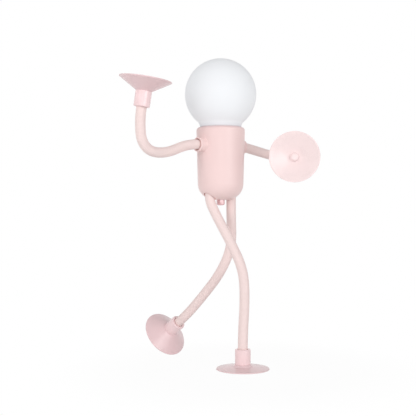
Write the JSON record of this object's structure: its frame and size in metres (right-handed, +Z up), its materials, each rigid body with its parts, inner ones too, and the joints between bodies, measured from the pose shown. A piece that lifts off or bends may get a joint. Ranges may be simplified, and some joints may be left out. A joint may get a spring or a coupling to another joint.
{
  "type": "bendable night light",
  "caption": "Little-figure night light: frosted globe head on a round pink body, with bendable hose arms and legs ending in suction cups and a push button underneath.",
  "frame": {"origin": "middle of the standing foot's suction face, on the floor", "axes": "+Z up, arms leave the body along X, the figure faces -Y; the figure's right arm is on -X"},
  "size_m": [0.1716, 0.1578, 0.257],
  "materials": {
    "body_pink": "satin",
    "frosted_white": "frosted",
    "hose_paint": "matte, finely ribbed",
    "sleeve_pink": "gloss",
    "cup_rubber": "matte silicone",
    "button_pink": "gloss",
    "inner_white": "moulded",
    "board_green": "solder mask",
    "screw_steel": "plated",
    "cell_foil": "foil",
    "switch_black": "moulded",
    "lamp_yellow": "phosphor"
  },
  "bodies": {
    "torso": {"body_shell": "body_pink", "globe": "frosted_white", "light_seat": "inner_white", "seat_screws": "screw_steel", "lamp_board": "inner_white", "lamps": "lamp_yellow", "battery_cell": "cell_foil", "battery_cradle": "inner_white", "cradle_screws": "screw_steel", "control_board": "board_green", "board_screws": "screw_steel", "charging_socket": "screw_steel", "switch_board": "board_green", "switch_body": "switch_black", "limb_stubs": "screw_steel", "limb_nuts": "screw_steel"},
    "button": {"power_button": "button_pink", "switch_plunger": "switch_black"},
    "right_arm_1": {"right_arm_1": "hose_paint"},
    "right_arm_2": {"right_arm_2": "hose_paint"},
    "right_arm_3": {"right_arm_3": "hose_paint"},
    "right_arm_4": {"right_arm_4": "hose_paint", "right_hand_sleeve": "sleeve_pink", "right_hand_cup": "cup_rubber"},
    "left_arm_1": {"left_arm_1": "hose_paint"},
    "left_arm_2": {"left_arm_2": "hose_paint"},
    "left_arm_3": {"left_arm_3": "hose_paint"},
    "left_arm_4": {"left_arm_4": "hose_paint", "left_hand_sleeve": "sleeve_pink", "left_hand_cup": "cup_rubber"},
    "right_leg_1": {"right_leg_1": "hose_paint"},
    "right_leg_2": {"right_leg_2": "hose_paint"},
    "right_leg_3": {"right_leg_3": "hose_paint"},
    "right_leg_4": {"right_leg_4": "hose_paint"},
    "right_leg_5": {"right_leg_5": "hose_paint", "right_foot_sleeve": "sleeve_pink", "right_foot_cup": "cup_rubber"},
    "left_leg_1": {"left_leg_1": "hose_paint"},
    "left_leg_2": {"left_leg_2": "hose_paint"},
    "left_leg_3": {"left_leg_3": "hose_paint"},
    "left_leg_4": {"left_leg_4": "hose_paint"},
    "left_leg_5": {"left_leg_5": "hose_paint", "left_foot_sleeve": "sleeve_pink", "left_foot_cup": "cup_rubber"}
  },
  "joints": [
    {"name": "button_press", "type": "slide", "parent": "torso", "child": "button", "axis": [0, 0, 1], "range_m": [0, 0.0008], "stiffness_N_per_m": 800, "springref_m": -0.0005},
    {"name": "right_shoulder_bend", "type": "hinge", "parent": "torso", "child": "right_arm_1", "pos_m": [-0.02773, 0.02686, 0.18383], "axis": [0, 1, 0], "range_deg": [-40, 25]},
    {"name": "right_upper_arm_bend", "type": "hinge", "parent": "right_arm_1", "child": "right_arm_2", "pos_m": [-0.04825, 0.02686, 0.1789], "axis": [-0.3907, 0, 0.9205], "range_deg": [-35, 35]},
    {"name": "right_elbow_bend", "type": "hinge", "parent": "right_arm_2", "child": "right_arm_3", "pos_m": [-0.06896, 0.02686, 0.17544], "axis": [0, -1, 0], "range_deg": [-25, 35]},
    {"name": "right_wrist_bend", "type": "hinge", "parent": "right_arm_3", "child": "right_arm_4", "pos_m": [-0.08344, 0.02601, 0.18867], "axis": [-0.9877, 0.0157, -0.1559], "range_deg": [-35, 35]},
    {"name": "left_shoulder_bend", "type": "hinge", "parent": "torso", "child": "left_arm_1", "pos_m": [0.02627, 0.02686, 0.18383], "axis": [0, 1, 0], "range_deg": [-35, 35]},
    {"name": "left_upper_arm_bend", "type": "hinge", "parent": "left_arm_1", "child": "left_arm_2", "pos_m": [0.04716, 0.02741, 0.18024], "axis": [-0.171, 0.1736, -0.9698], "range_deg": [-35, 15]},
    {"name": "left_elbow_bend", "type": "hinge", "parent": "left_arm_2", "child": "left_arm_3", "pos_m": [0.06359, 0.01715, 0.17551], "axis": [0.9119, 0.4006, -0.0891], "range_deg": [-35, 35]},
    {"name": "left_wrist_bend", "type": "hinge", "parent": "left_arm_3", "child": "left_arm_4", "pos_m": [0.05926, -0.0021, 0.17283], "axis": [0.171, -0.1736, 0.9698], "range_deg": [-15, 35]},
    {"name": "right_hip_bend", "type": "hinge", "parent": "torso", "child": "right_leg_1", "pos_m": [-0.01253, 0.02686, 0.13693], "axis": [-0.9063, -0.4226, 0], "range_deg": [-25, 15]},
    {"name": "right_thigh_bend", "type": "hinge", "parent": "right_leg_1", "child": "right_leg_2", "pos_m": [-0.00737, 0.01579, 0.11444], "axis": [0.3623, -0.7769, 0.515], "range_deg": [-30, 25]},
    {"name": "right_knee_bend", "type": "hinge", "parent": "right_leg_2", "child": "right_leg_3", "pos_m": [-0.00212, 0.00455, 0.09205], "axis": [0.9063, 0.4226, 0], "range_deg": [-35, 30]},
    {"name": "right_shin_bend", "type": "hinge", "parent": "right_leg_3", "child": "right_leg_4", "pos_m": [0.00057, -0.00121, 0.06746], "axis": [-0.4224, 0.9058, -0.0349], "range_deg": [-35, 35]},
    {"name": "right_ankle_bend", "type": "hinge", "parent": "right_leg_4", "child": "right_leg_5", "pos_m": [0.00038, -0.00081, 0.04188], "axis": [-0.9063, -0.4226, 0], "range_deg": [-35, 35]},
    {"name": "left_hip_bend", "type": "hinge", "parent": "torso", "child": "left_leg_1", "pos_m": [0.01107, 0.02686, 0.13693], "axis": [0.9511, 0.309, 0], "range_deg": [-20, 35]},
    {"name": "left_thigh_bend", "type": "hinge", "parent": "left_leg_1", "child": "left_leg_2", "pos_m": [0.01121, 0.02644, 0.11133], "axis": [-0.3088, 0.9505, -0.0349], "range_deg": [-35, 30]},
    {"name": "left_knee_bend", "type": "hinge", "parent": "left_leg_2", "child": "left_leg_3", "pos_m": [0.00952, 0.03165, 0.08661], "axis": [0.9511, 0.309, 0], "range_deg": [-30, 35]},
    {"name": "left_shin_bend", "type": "hinge", "parent": "left_leg_3", "child": "left_leg_4", "pos_m": [0.00511, 0.04523, 0.06544], "axis": [0.2332, -0.7178, -0.6561], "range_deg": [-35, 35]},
    {"name": "left_ankle_bend", "type": "hinge", "parent": "left_leg_4", "child": "left_leg_5", "pos_m": [0.00025, 0.06187, 0.0466], "axis": [0.9065, -0.1719, -0.3856], "range_deg": [-35, 35]}
  ]
}
